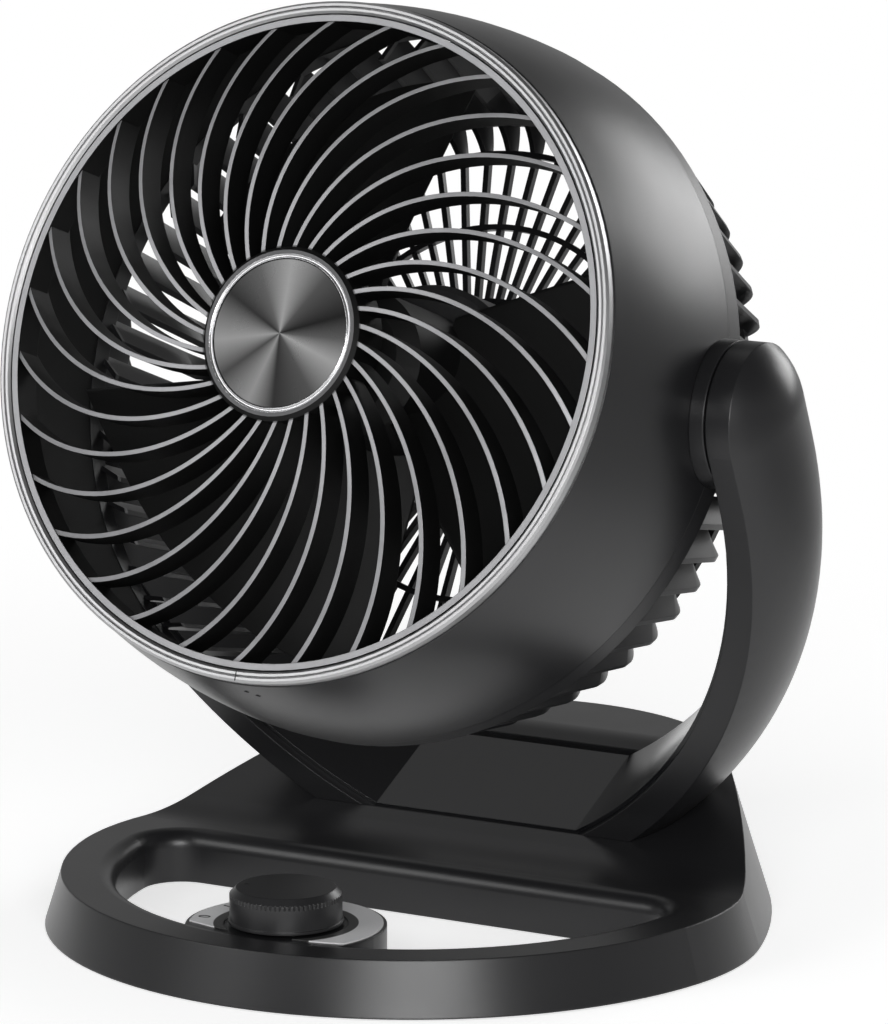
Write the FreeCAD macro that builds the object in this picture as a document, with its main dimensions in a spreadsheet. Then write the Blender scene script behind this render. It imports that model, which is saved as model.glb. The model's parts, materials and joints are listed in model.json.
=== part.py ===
import FreeCAD, Part
import math
import os
import re
from types import SimpleNamespace

import Sketcher
from FreeCAD import Placement, Rotation, Vector

# Portable table fan: a tilting drum head carried by a forward-leaning yoke on a looped base.
# Frame: +Z up, the air blows towards -Y, origin on the floor under the middle of the base.

doc = FreeCAD.newDocument("portable_fan")

# Driving dimensions, millimetres and degrees
SIZES = {
    # where the head pivots, and how it and the yoke lean
    "pivot_y": -19.3, "pivot_z": 191.2, "head_tilt": 19.75, "yoke_lean": 25.0,
    # drum shell and trim ring, measured along the fan axis forward of the pivot
    "ring_front": 73.4, "ring_inner": 110.9, "ring_line": 113.0, "ring_outer": 115.1, "ring_face": 4.2,
    "ring_sleeve": 13.0, "ring_groove": 0.7, "ring_edge": 0.8, "spigot_wall": 1.9,
    "seam_z": 2.2, "seam_radius": 124.9, "shell_bulge": 2.0, "shell_wall": 2.6, "shell_lip": 0.4,
    # rear guard
    "guard_rim": 9.0, "guard_depth": 64.0, "guard_shoulder": 22.0, "guard_taper": 13.5, "guard_ribs": 60,
    "rib_width": 2.0, "rib_depth": 8.0, "rib_back": 3.0, "rib_lean": 7.0, "rib_slant": 4.0, "rib_inset": 0.3,
    "rib_sink": 2.2, "ring_depth": 3.0, "guard_rings": 3, "guard_hub": 41.0, "guard_gap": 0.3,
    "guard_plate": 3.2,
    # front grille and badge
    "rim_wall": 2.2, "rim_depth": 12.0, "fit_gap": 0.4, "vanes": 31, "vane_wall": 1.5, "vane_depth": 12.0,
    "vane_swirl": 46.0, "hub_radius": 29.4, "hub_front": 84.6, "hub_depth": 17.0, "hub_wall": 2.4,
    "hub_bevel": 1.4, "dome_crown": 5.0, "vane_drop": 12.0, "badge_radius": 25.2, "badge_wall": 1.8,
    "badge_seat": 2.2, "badge_edge": 0.3, "badge_ring_wall": 1.5,
    # impeller and motor
    "blades": 3, "blade_turn": 6.0, "blade_tip": 101.0, "blade_wall": 2.2, "root_chord": 60.0,
    "tip_chord": 180.0, "root_pitch": 42.0, "tip_pitch": 16.0, "blade_sweep": 16.0, "blade_mid": 17.0,
    "blade_camber": 0.09, "impeller_hub": 26.0, "impeller_back": -9.0, "impeller_front": 40.0,
    "impeller_nose": 6.0, "nut_radius": 10.0, "nut_height": 8.0, "nut_bevel": 2.5, "shaft_radius": 4.0,
    "shaft_front": 45.0, "shaft_clear": 0.05, "motor_radius": 37.0, "motor_front": -14.0, "motor_wall": 2.0,
    "motor_flange": 9.0, "flange_wall": 5.0, "stator_inner": 20.4, "stator_height": 24.0, "stator_gap": 1.2,
    "rotor_radius": 19.8, "rotor_height": 25.0, "bearing_radius": 9.0, "bearing_height": 7.0,
    "motor_screw_turn": 45.0,
    # pivots
    "boss_radius": 25.0, "arm_inner": 129.6, "washer_wall": 0.7, "washer_radius": 20.0, "pin_radius": 8.0,
    "pin_clear": 0.05, "pin_in_arm": 7.0, "pin_in_boss": 3.2, "turn_gap": 0.1,
    # yoke
    "arm_depth": 50.0, "arm_edge": 8.6, "arm_foot_edge": 10.9, "arm_bulge": 12.0, "foot_bulge": 8.0,
    "arm_curve": 182.0, "curve_start": 16.4, "floor_height": 9.0, "liner_wall": 1.6,
    "liner_inset": 3.0, "liner_top": 8.0, "bracket_wall": 3.0, "bracket_half": 70.0, "bracket_lip": 8.0,
    # base
    "base_front": 139.0, "front_radius": 128.3, "corner_radius": 100.0, "flank_radius": 300.0,
    "corner_from": -12.0, "corner_to": 17.0, "flank_to": 35.0, "base_draft": 17.3, "rim_height": 18.8,
    "rise_radius": 49.0, "crest_radius": 50.0, "crest_y": 69.0, "base_wall": 3.0, "shell_foot": 2.0,
    "skirt_low": 0.3, "deck_lift": 2.5,
    "open_radius": 103.5, "open_back": -8.0, "open_corner": 14.0, "open_round": 6.0, "cover_wall": 2.0,
    "cover_gap": 0.4, "foot_radius": 6.5, "foot_ring": 116.8, "foot_turn": 38.0, "rear_foot_x": 62.0,
    "rear_foot_y": 80.0, "post_radius": 4.0, "screw_side": 18.0, "screw_front": 62.0,
    "rear_screw_x": 37.0, "rear_screw_y": 104.0,
    # control
    "knob_y": -96.5, "pod_radius": 34.0, "pod_height": 18.2, "dial_radius": 32.8, "dial_inner": 21.0,
    "dial_wall": 0.5, "knob_radius": 19.0, "knob_top": 31.2, "knob_bevel": 2.2, "knob_lift": 19.3,
    "knob_flange": 0.5, "knob_wall": 2.0, "knob_teeth": 72, "tooth_depth": 0.4, "tooth_length": 3.6,
    "switch_size": 24.0, "switch_height": 8.0, "spindle_radius": 3.0, "spindle_top": 27.0, "spindle_seat": 1.0,
    "stem_radius": 7.0,
    # inner electrics and fasteners
    "capacitor_radius": 9.0, "capacitor_length": 32.0, "gland_radius": 6.0, "gland_bore": 3.2,
    "gland_flange": 8.0, "gland_height": 14.0, "gland_collar": 2.0, "screw_radius": 1.5, "screw_head": 3.2,
    "screw_cap": 1.4, "screw_length": 9.0, "yoke_screw": 7.0,
}
dims = doc.addObject("Spreadsheet::Sheet", "dims")
for row, (alias, number) in enumerate(SIZES.items(), start=1):
    dims.set(f"A{row}", alias)
    dims.set(f"B{row}", str(number))
    dims.setAlias(f"B{row}", alias)
doc.recompute()
d = SimpleNamespace(**{alias: float(dims.get(alias)) for alias in SIZES})

PIECES = []
EXPRESSION_WORDS = {"sqrt", "abs", "cos", "sin", "tan"}


def bound(text):
    """An expression on the sheet's aliases, as the document reads it."""
    def place(match):
        word = match.group()
        return word if word in EXPRESSION_WORDS else "dims." + word
    return re.sub(r"[a-z][a-z_]*", place, text)


def number_of(text):
    return float(dims.evalExpression(bound(text)))


def keep(piece, label):
    piece.Label = label
    PIECES.append(piece)
    return piece


def feature(label, shape, place=None):
    """A sub-part whose shape is worked out from the sheet's values."""
    piece = doc.addObject("Part::Feature", label)
    piece.Shape = shape
    piece.Placement = place or Placement()
    return keep(piece, label)


def turned(label, profile, place=None):
    """A turned sub-part: corners (radius, height[, bulge of the arc to the next corner]) about local Z."""
    body = doc.addObject("PartDesign::Body", label)
    sketch = body.newObject("Sketcher::SketchObject", label + "_profile")
    plane = next(f for f in body.Origin.OriginFeatures if f.Role == "XZ_Plane")
    sketch.AttachmentSupport = [(plane, "")]
    sketch.MapMode = "FlatFace"
    corners = [Vector(number_of(c[0]), number_of(c[1]), 0) for c in profile]
    starts, ends = [], []
    for index, corner in enumerate(profile):
        start, end = corners[index], corners[(index + 1) % len(corners)]
        if len(corner) == 3:
            chord = end - start
            side = Vector(chord.y, -chord.x, 0).normalize()
            edge = Part.Arc(start, (start + end) / 2 + side * number_of(corner[2]), end)
        else:
            edge = Part.LineSegment(start, end)
        made = sketch.addGeometry(edge, False)
        forward = (sketch.getPoint(made, 1) - start).Length < 1e-6
        starts.append(1 if forward else 2)
        ends.append(2 if forward else 1)
    for index, corner in enumerate(profile):
        after = (index + 1) % len(profile)
        sketch.addConstraint(Sketcher.Constraint("Coincident", index, ends[index], after, starts[after]))
        for kind, axis, text, value in (
            ("DistanceX", -2, corner[0], corners[index].x), ("DistanceY", -1, corner[1], corners[index].y)
        ):
            if abs(value) < 1e-9:
                sketch.addConstraint(Sketcher.Constraint("PointOnObject", index, starts[index], axis))
                continue
            made = sketch.addConstraint(Sketcher.Constraint(kind, -1, 1, index, starts[index], value))
            sketch.setExpression(f"Constraints[{made}]", bound(text))
        if len(corner) == 3:
            (r_a, z_a), (r_b, z_b), bulge = corner[:2], profile[after][:2], corner[2]
            chord_squared = f"((({r_b}) - ({r_a}))^2 + (({z_b}) - ({z_a}))^2)"
            radius = f"({chord_squared} / 4 + ({bulge})^2) / (2 * abs({bulge}))"
            made = sketch.addConstraint(Sketcher.Constraint("Radius", index, number_of(radius)))
            sketch.setExpression(f"Constraints[{made}]", bound(radius))
    turn = body.newObject("PartDesign::Revolution", label + "_turn")
    turn.Profile = sketch
    turn.ReferenceAxis = (sketch, ["V_Axis"])
    turn.Angle = 360
    body.Placement = place or Placement()
    return keep(body, label)


def cut_from(label, blank, tool_shape, place):
    """Another object of the document less a tool, which takes the blank's place as the sub-part."""
    PIECES.remove(blank)
    blank.Label = label + "_blank"
    tool = doc.addObject("Part::Feature", label + "_tool")
    tool.Shape = tool_shape
    tool.Placement = place
    piece = doc.addObject("Part::Cut", label + "_cut")
    piece.Base = blank
    piece.Tool = tool
    return keep(piece, label)


def round_bar(radius, start, end):
    axis = end - start
    return Part.makeCylinder(radius, axis.Length, start, axis)


def face_of(edges):
    return Part.Face(Part.Wire(edges))


def loop_of(points):
    """Straight edges round a closed list of points."""
    return [Part.LineSegment(a, b).toShape() for a, b in zip(points, points[1:] + points[:1])]


def spun(face, axis=Vector(0, 0, 1), centre=Vector(0, 0, 0), angle=360):
    return face.revolve(centre, axis, angle)


def ring_shape(inner, outer, low, high):
    corners = [Vector(inner, 0, low), Vector(outer, 0, low), Vector(outer, 0, high), Vector(inner, 0, high)]
    return spun(face_of(loop_of(corners)))


def copies(shape, count, start=0.0):
    made = []
    for index in range(int(count)):
        copy = shape.copy()
        copy.rotate(Vector(0, 0, 0), Vector(0, 0, 1), start + index * 360 / int(count))
        made.append(copy)
    return made


# The head's own frame: local Z runs out of the front along the fan axis, from the pivot.
HEAD = Placement(Vector(0, d.pivot_y, d.pivot_z), Rotation(Vector(1, 0, 0), 90 - d.head_tilt))
# The yoke's own frame: local Z runs up the arms, local Y runs back through their depth.
YOKE = Placement(Vector(0, 0, 0), Rotation(Vector(1, 0, 0), d.yoke_lean))

# Drum shell, trim ring and badge
RING_BACK = "ring_front - ring_face"
turned("trim_ring", [
    ("ring_inner", "ring_front - ring_sleeve"),
    ("ring_inner + spigot_wall", "ring_front - ring_sleeve"),
    ("ring_inner + spigot_wall", RING_BACK),
    ("ring_outer", RING_BACK),
    ("ring_outer", "ring_front - ring_edge"),
    ("ring_outer - ring_edge", "ring_front"),
    ("ring_line + ring_groove / 2", "ring_front"),
    ("ring_line", "ring_front - ring_groove"),
    ("ring_line - ring_groove / 2", "ring_front"),
    ("ring_inner + ring_edge", "ring_front"),
    ("ring_inner", "ring_front - ring_edge"),
], HEAD)
turned("front_shroud", [
    ("ring_outer + shell_lip", RING_BACK, "-shell_bulge"),
    ("seam_radius", "seam_z"),
    ("seam_radius - shell_wall", "seam_z", "shell_bulge"),
    ("ring_inner + spigot_wall + fit_gap / 4", RING_BACK),
], HEAD)
turned("hub_badge", [
    ("0", "hub_front - badge_seat"),
    ("badge_radius", "hub_front - badge_seat"),
    ("badge_radius", "hub_front - badge_seat + badge_wall - badge_edge"),
    ("badge_radius - badge_edge", "hub_front - badge_seat + badge_wall"),
    ("0", "hub_front - badge_seat + badge_wall"),
], HEAD)
turned("badge_ring", [
    ("badge_radius", "hub_front - badge_seat"),
    ("badge_radius + badge_ring_wall", "hub_front - badge_seat"),
    ("badge_radius + badge_ring_wall", "hub_front", "-badge_ring_wall / 3"),
    ("badge_radius", "hub_front"),
], HEAD)


def vane_lens():
    """The space between the grille's domed front and back, as a turned solid."""
    rim_radius = d.ring_inner - d.fit_gap
    top, low = d.hub_front - d.hub_bevel, d.hub_front - d.hub_bevel - d.vane_drop
    middle = (d.hub_radius + rim_radius) / 2
    crown = (top + low) / 2 + d.dome_crown
    back = Vector(0, 0, -d.vane_depth)
    points = [Vector(d.hub_radius - d.hub_wall / 2, 0, top), Vector(middle, 0, crown),
              Vector(rim_radius - d.rim_wall / 2, 0, low)]
    front = Part.Arc(*points).toShape()
    rear = Part.Arc(*[p + back for p in points]).toShape()
    sides = [Part.LineSegment(points[2], points[2] + back).toShape(),
             Part.LineSegment(points[0] + back, points[0]).toShape()]
    return spun(face_of(Part.__sortEdges__([front, sides[0], rear, sides[1]])))


def vane_strip():
    """One swirling vane, as a thin curved strip along the fan axis."""
    inner, outer = d.hub_radius - d.hub_wall, d.ring_inner - d.fit_gap - d.rim_wall / 4
    pull = math.radians(d.vane_swirl) / (outer - inner)
    sides = {1: [], -1: []}
    for radius in (inner, (inner + outer) / 2, outer):
        angle = -pull * (radius - inner)
        lean = math.atan(radius * pull)
        for side, points in sides.items():
            across = angle - lean + side * math.pi / 2
            points.append(Vector(radius * math.cos(angle) + d.vane_wall / 2 * math.cos(across),
                                 radius * math.sin(angle) + d.vane_wall / 2 * math.sin(across), 0))
    left, right = Part.Arc(*sides[1]).toShape(), Part.Arc(*sides[-1]).toShape()
    ends = [Part.LineSegment(sides[1][k], sides[-1][k]).toShape() for k in (0, 2)]
    strip = face_of(Part.__sortEdges__([left, ends[1], right, ends[0]]))
    return strip.extrude(Vector(0, 0, d.hub_front))


def front_grille():
    rim_radius = d.ring_inner - d.fit_gap
    rim_front = d.ring_front - d.ring_edge
    rim = ring_shape(rim_radius - d.rim_wall, rim_radius, rim_front - d.rim_depth, rim_front)
    back, front = d.hub_front - d.hub_depth, d.hub_front
    seat, pocket = front - d.badge_seat, d.badge_radius + d.badge_ring_wall
    hub = spun(face_of(loop_of([
        Vector(d.hub_radius - d.hub_wall, 0, back), Vector(d.hub_radius, 0, back),
        Vector(d.hub_radius, 0, front - d.hub_bevel), Vector(d.hub_radius - d.hub_bevel, 0, front),
        Vector(pocket, 0, front), Vector(pocket, 0, seat), Vector(0, 0, seat),
        Vector(0, 0, seat - d.hub_wall), Vector(d.hub_radius - d.hub_wall, 0, seat - d.hub_wall)])))
    vane = vane_strip().common(vane_lens())
    return rim.multiFuse([hub] + copies(vane, d.vanes))


feature("front_grille", front_grille(), HEAD)


# Rear guard
RIM_LOW = d.seam_z - d.guard_rim
GUARD_BACK = d.seam_z - d.guard_depth


def guard_profile(inset, lift, bend):
    """Corners of a meridian of the guard: rim, tapered side, round shoulder, flat back."""
    taper = math.radians(d.guard_taper)
    back = GUARD_BACK + lift
    side = d.seam_radius - d.guard_gap - d.rib_inset
    reach = side * math.cos(taper) - RIM_LOW * math.sin(taper) - inset
    centre = Vector((reach - bend + (back + bend) * math.sin(taper)) / math.cos(taper), 0, back + bend)
    turns = (taper, (taper + math.pi / 2) / 2, math.pi / 2)
    shoulder = [centre + Vector(bend * math.cos(turn), 0, -bend * math.sin(turn)) for turn in turns]
    start = Vector((reach + RIM_LOW * math.sin(taper)) / math.cos(taper), 0, RIM_LOW)
    top = start + Vector(0, 0, d.rib_sink)
    return [top, start] + shoulder + [Vector(d.guard_hub - d.rib_sink, 0, back)]


def profile_edges(corners):
    top, start, bend_in, bend_mid, bend_out, end = corners
    return [Part.LineSegment(top, start).toShape(), Part.LineSegment(start, bend_in).toShape(),
            Part.Arc(bend_in, bend_mid, bend_out).toShape(), Part.LineSegment(bend_out, end).toShape()]


def guard_slat(outer, inner):
    """One slat: it leans round the guard along the side and stands upright across the back."""
    lean = [d.rib_lean] * 3 + [d.rib_lean / 2, 0, 0]
    inner = [corner + Vector(0, shift, 0) for corner, shift in zip(inner, lean)]
    pieces = [Part.makeRuledSurface(a, b).extrude(Vector(0, d.rib_width, 0))
              for a, b in zip(profile_edges(outer), profile_edges(inner))]
    slat = pieces[0].multiFuse(pieces[1:])
    slat.rotate(outer[1], Vector(1, 0, 0), d.rib_slant)
    return slat


def rear_guard():
    rim_radius = d.seam_radius - d.guard_gap
    rim = ring_shape(rim_radius - d.shell_wall, rim_radius, RIM_LOW, d.seam_z - d.guard_gap)
    outer = guard_profile(0, 0, d.guard_shoulder)
    inner = guard_profile(d.rib_depth, d.rib_back, d.guard_shoulder - d.rib_back)
    slat = guard_slat(outer, inner)
    plate = Part.makeCylinder(d.guard_hub, d.guard_plate, Vector(0, 0, GUARD_BACK))
    bore = Part.makeCylinder(d.bearing_radius, d.guard_plate, Vector(0, 0, GUARD_BACK))
    flat_span = outer[4].x - d.guard_hub
    rings = []
    for index in range(int(d.guard_rings) - 1):
        radius = d.guard_hub + flat_span * (index + 1) / (d.guard_rings - 1)
        rings.append(ring_shape(radius - d.rib_width, radius, GUARD_BACK + d.ring_depth / 2,
                                GUARD_BACK + d.ring_depth * 3 / 2))
    crown = (outer[3] + inner[3]) / 2
    rings.append(ring_shape(crown.x - d.ring_depth / 2, crown.x + d.ring_depth / 2,
                            crown.z - d.ring_depth / 2, crown.z + d.ring_depth / 2))
    return rim.multiFuse([plate.cut(bore)] + rings + copies(slat, d.guard_ribs))


guard_blank = feature("rear_guard", rear_guard(), HEAD)

# Motor
BACK_PLATE = "seam_z - guard_depth + guard_plate"
motor_blank = turned("motor_housing", [
    ("motor_radius - motor_flange", BACK_PLATE),
    ("motor_radius", BACK_PLATE),
    ("motor_radius", "motor_front - motor_wall"),
    ("motor_radius - motor_wall", "motor_front"),
    ("bearing_radius + motor_wall", "motor_front"),
    ("bearing_radius", "motor_front"),
    ("bearing_radius", "motor_front - bearing_height"),
    ("bearing_radius + motor_wall", "motor_front - bearing_height"),
    ("bearing_radius + motor_wall", "motor_front - motor_wall"),
    ("motor_radius - motor_wall", "motor_front - motor_wall"),
    ("motor_radius - motor_wall", BACK_PLATE + " + flange_wall"),
    ("motor_radius - motor_flange", BACK_PLATE + " + flange_wall"),
], HEAD)
STATOR_LOW = "seam_z - guard_depth + guard_plate + bearing_height + stator_gap"
turned("stator", [
    ("stator_inner", STATOR_LOW),
    ("motor_radius - motor_wall", STATOR_LOW),
    ("motor_radius - motor_wall", STATOR_LOW + " + stator_height"),
    ("stator_inner", STATOR_LOW + " + stator_height"),
], HEAD)
turned("rotor_core", [
    ("shaft_radius", STATOR_LOW),
    ("rotor_radius", STATOR_LOW),
    ("rotor_radius", STATOR_LOW + " + rotor_height"),
    ("shaft_radius", STATOR_LOW + " + rotor_height"),
], HEAD)
turned("motor_shaft", [
    ("0", BACK_PLATE),
    ("shaft_radius", BACK_PLATE),
    ("shaft_radius", "shaft_front"),
    ("0", "shaft_front"),
], HEAD)
BEARING_LOWS = {"rear_bearing": "seam_z - guard_depth", "front_bearing": "motor_front - bearing_height"}
for label, low in BEARING_LOWS.items():
    turned(label, [
        ("shaft_radius + shaft_clear", low),
        ("bearing_radius", low),
        ("bearing_radius", low + " + bearing_height"),
        ("shaft_radius + shaft_clear", low + " + bearing_height"),
    ], HEAD)


# Impeller
def blade_section(radius, chord, pitch, sweep):
    """A thin cambered section across the air stream, set at its pitch and swept round the axis."""
    along = Vector(0, -math.cos(math.radians(pitch)), math.sin(math.radians(pitch)))
    across = Vector(0, -along.z, along.y)
    middle = Vector(radius, 0, d.blade_mid)
    nose, tail = middle - along * chord / 2, middle + along * chord / 2
    camber = d.blade_camber * chord
    upper = Part.Arc(nose, middle + across * (camber + d.blade_wall / 2), tail).toShape()
    lower = Part.Arc(tail, middle + across * (camber - d.blade_wall / 2), nose).toShape()
    wire = Part.Wire([upper, lower])
    wire.rotate(Vector(0, 0, 0), Vector(0, 0, 1), -sweep)
    return wire


def impeller():
    inner = d.shaft_radius
    hub = spun(face_of(loop_of([
        Vector(inner, 0, d.impeller_back), Vector(d.impeller_hub, 0, d.impeller_back),
        Vector(d.impeller_hub, 0, d.impeller_front - d.impeller_nose),
        Vector(d.impeller_hub - d.impeller_nose, 0, d.impeller_front), Vector(inner, 0, d.impeller_front)])))
    spans = [(d.impeller_hub - d.impeller_nose - d.blade_wall, d.root_chord, d.root_pitch, 0),
             (d.blade_tip + 2 * d.blade_wall, d.tip_chord, d.tip_pitch, d.blade_sweep)]
    blade = Part.makeLoft([blade_section(*span) for span in spans], True, True)
    tube = ring_shape(d.impeller_hub - d.impeller_nose, d.blade_tip, -d.blade_tip, d.blade_tip)
    blade = blade.common(tube)
    return hub.multiFuse(copies(blade, d.blades, d.blade_turn))


feature("impeller", impeller(), HEAD)
turned("blade_nut", [
    ("shaft_radius", "impeller_front"),
    ("nut_radius", "impeller_front"),
    ("nut_radius", "impeller_front + nut_height - nut_bevel"),
    ("nut_radius - nut_bevel", "impeller_front + nut_height"),
    ("0", "impeller_front + nut_height"),
    ("0", "shaft_front"),
    ("shaft_radius", "shaft_front"),
], HEAD)


# Pivots: a boss on each side of the drum turns on a pin that the arm holds.
def head_envelope(gap):
    """The drum's outer form as one turned solid, grown by a gap."""
    front = Vector(d.ring_outer + d.shell_lip + gap, 0, d.ring_front - d.ring_face)
    seam = Vector(d.seam_radius + gap, 0, d.seam_z)
    chord = seam - front
    side = Vector(-chord.z, 0, chord.x).normalize()
    middle = (front + seam) / 2 + side * d.shell_bulge
    middle = middle if middle.x > (front.x + seam.x) / 2 else (front + seam) / 2 - side * d.shell_bulge
    rear = Vector(seam.x, 0, d.seam_z - d.guard_depth)
    edges = [Part.Arc(front, middle, seam).toShape()]
    edges += [Part.LineSegment(a, b).toShape() for a, b in (
        (seam, rear), (rear, Vector(0, 0, rear.z)), (Vector(0, 0, rear.z), Vector(0, 0, front.z)),
        (Vector(0, 0, front.z), front))]
    return spun(face_of(Part.__sortEdges__(edges)))


BOSS_FACE = d.arm_inner - d.washer_wall - d.turn_gap
for side_name, side in (("left", -1), ("right", 1)):
    start = Vector(side * (d.seam_radius - d.boss_radius), 0, 0)
    boss = round_bar(d.boss_radius, start, Vector(side * BOSS_FACE, 0, 0))
    bore = round_bar(d.pin_radius + d.pin_clear, start, Vector(side * BOSS_FACE, 0, 0))
    boss = boss.cut(head_envelope(0)).cut(bore)
    feature("pivot_boss_" + side_name, boss, HEAD)
    pin = round_bar(d.pin_radius, Vector(side * (BOSS_FACE - d.pin_in_boss), 0, 0),
                    Vector(side * (d.arm_inner + d.pin_in_arm), 0, 0))
    feature("pivot_pin_" + side_name, pin, HEAD)
    washer = round_bar(d.washer_radius, Vector(side * (d.arm_inner - d.washer_wall), 0, 0),
                       Vector(side * d.arm_inner, 0, 0))
    hole = round_bar(d.pin_radius, Vector(side * (d.arm_inner - d.washer_wall), 0, 0),
                     Vector(side * d.arm_inner, 0, 0))
    feature("friction_washer_" + side_name, washer.cut(hole), HEAD)

# Yoke: in its own frame x is across, y is depth, z is up the arms
PIVOT_IN_YOKE = YOKE.inverse().multVec(Vector(0, d.pivot_y, d.pivot_z))
MID_DEPTH = PIVOT_IN_YOKE.y
FRONT_DEPTH, BACK_DEPTH = MID_DEPTH - d.arm_depth / 2, MID_DEPTH + d.arm_depth / 2
CURVE_TOP = PIVOT_IN_YOKE.z - d.curve_start
CURVE_X = d.arm_inner - d.arm_curve
FOOT_TURN = math.degrees(math.asin((CURVE_TOP - d.floor_height) / d.arm_curve))
FLOOR_X = CURVE_X + d.arm_curve * math.cos(math.radians(FOOT_TURN))
PLATE_LOW = d.floor_height - d.base_wall * math.cos(math.radians(d.yoke_lean))


def arm_point(turn, out, depth):
    """A point of the right arm: turn down the curve, distance out from its inner face, depth."""
    angle = math.radians(turn)
    radius = d.arm_curve + out
    return Vector(CURVE_X + radius * math.cos(angle), depth, CURVE_TOP - radius * math.sin(angle))


def arm_section(turn):
    share = turn / FOOT_TURN
    edge = d.arm_edge + (d.arm_foot_edge - d.arm_edge) * share
    bulge = d.arm_bulge + (d.foot_bulge - d.arm_bulge) * share
    corners = [arm_point(turn, 0, FRONT_DEPTH), arm_point(turn, edge, FRONT_DEPTH),
               arm_point(turn, edge, BACK_DEPTH), arm_point(turn, 0, BACK_DEPTH)]
    crest = arm_point(turn, edge + bulge, MID_DEPTH)
    return Part.Wire([Part.LineSegment(corners[0], corners[1]).toShape(),
                      Part.Arc(corners[1], crest, corners[2]).toShape(),
                      Part.LineSegment(corners[2], corners[3]).toShape(),
                      Part.LineSegment(corners[3], corners[0]).toShape()])


def right_arm():
    turns = [FOOT_TURN * share for share in (0, 0.25, 0.5, 0.75, 1, 1.12)]
    curve = Part.makeLoft([arm_section(turn) for turn in turns], True, False)
    straight = Part.Face(arm_section(0)).extrude(Vector(0, 0, d.curve_start))
    top = PIVOT_IN_YOKE.z
    outer = d.arm_inner + d.arm_edge
    centre, rim = Vector(d.arm_inner, MID_DEPTH, top), Vector(d.arm_inner, BACK_DEPTH, top)
    crest, lip = Vector(outer + d.arm_bulge, MID_DEPTH, top), Vector(outer, BACK_DEPTH, top)
    reach = d.arm_depth / 2
    dome_radius = (reach ** 2 + d.arm_bulge ** 2) / (2 * d.arm_bulge)
    turn = math.asin(reach / dome_radius) / 2
    halfway = Vector(crest.x - dome_radius * (1 - math.cos(turn)),
                     MID_DEPTH + dome_radius * math.sin(turn), top)
    half = face_of([Part.LineSegment(centre, rim).toShape(), Part.LineSegment(rim, lip).toShape(),
                    Part.Arc(lip, halfway, crest).toShape(), Part.LineSegment(crest, centre).toShape()])
    head = spun(half, Vector(1, 0, 0), centre, 180)
    bore = round_bar(d.pin_radius, centre, centre + Vector(d.pin_in_arm, 0, 0))
    return curve.multiFuse([straight, head]).cut(bore)


def yoke():
    arm = right_arm()
    low = PLATE_LOW
    plate = Part.makeBox(2 * (FLOOR_X + d.arm_foot_edge), d.arm_depth, d.floor_height - low,
                         Vector(-FLOOR_X - d.arm_foot_edge, FRONT_DEPTH, low))
    whole = arm.multiFuse([arm.mirror(Vector(0, 0, 0), Vector(1, 0, 0)), plate])
    reach = d.arm_inner + d.arm_depth
    trim = Part.makeBox(2 * reach, 2 * d.arm_depth, d.arm_curve + d.arm_depth,
                        Vector(-reach, MID_DEPTH - d.arm_depth, low))
    return whole.common(trim).removeSplitter()


def yoke_inside():
    """The space between the arms and above the yoke's floor."""
    right = [arm_point(turn, 0, FRONT_DEPTH) for turn in (0, FOOT_TURN / 2, FOOT_TURN)]
    left = [Vector(-p.x, p.y, p.z) for p in right]
    edges = [Part.Arc(*right).toShape(), Part.Arc(*left).toShape(),
             Part.LineSegment(right[2], left[2]).toShape(), Part.LineSegment(right[0], left[0]).toShape()]
    return face_of(Part.__sortEdges__(edges)).extrude(Vector(0, d.arm_depth, 0))


def yoke_liner():
    """Thin cover along the inside of the arms and across the floor between them."""
    front = FRONT_DEPTH + d.liner_inset

    def side(out, sign):
        turns = (d.liner_top, (d.liner_top + FOOT_TURN) / 2, FOOT_TURN)
        points = [arm_point(turn, out, front) for turn in turns]
        return [Vector(sign * p.x, p.y, p.z) for p in points]
    edges = []
    for out in (0, -d.liner_wall):
        right, left = side(out, 1), side(out, -1)
        edges += [Part.Arc(*right).toShape(), Part.Arc(*left).toShape(),
                  Part.LineSegment(right[2], left[2]).toShape()]
    for sign in (1, -1):
        edges.append(Part.LineSegment(side(0, sign)[0], side(-d.liner_wall, sign)[0]).toShape())
    strip = face_of(Part.__sortEdges__(edges))
    return strip.extrude(Vector(0, d.arm_depth - 2 * d.liner_inset, 0))


def screw(head_face, direction, length):
    """A pan-headed screw: the head sits on head_face, the shank runs along direction."""
    direction = direction.normalize()
    head = round_bar(d.screw_head, head_face - direction * d.screw_cap, head_face)
    return head.fuse(round_bar(d.screw_radius, head_face, head_face + direction * length))


def shank_hole(head_face, direction, length):
    direction = direction.normalize()
    return round_bar(d.screw_radius, head_face, head_face + direction * length)


BRACKET_LOW = PLATE_LOW - d.bracket_wall
UP = Vector(0, 0, 1)
YOKE_SCREWS = [Vector(sx * (FLOOR_X + d.arm_foot_edge / 2), MID_DEPTH + sy * d.arm_depth / 3, BRACKET_LOW)
               for sx in (-1, 1) for sy in (-1, 1)]


def drilled(shape, points, direction, length):
    return shape.cut(Part.makeCompound([shank_hole(p, direction, length) for p in points]))


YOKE_SHAPE = yoke()
feature("yoke", drilled(YOKE_SHAPE, YOKE_SCREWS, UP, d.yoke_screw), YOKE)
feature("yoke_liner", yoke_liner(), YOKE)
bracket = Part.makeBox(2 * d.bracket_half, d.arm_depth + d.bracket_lip - d.liner_inset, d.bracket_wall,
                       Vector(-d.bracket_half, FRONT_DEPTH - d.bracket_lip, BRACKET_LOW))
feature("yoke_bracket", drilled(bracket, YOKE_SCREWS, UP, d.yoke_screw), YOKE)
feature("yoke_screws", Part.makeCompound([screw(p, UP, d.yoke_screw) for p in YOKE_SCREWS]), YOKE)

# Base: a drafted outline of tangent arcs under a rising deck
FRONT_CENTRE = Vector(0, d.front_radius - d.base_front, 0)


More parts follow.
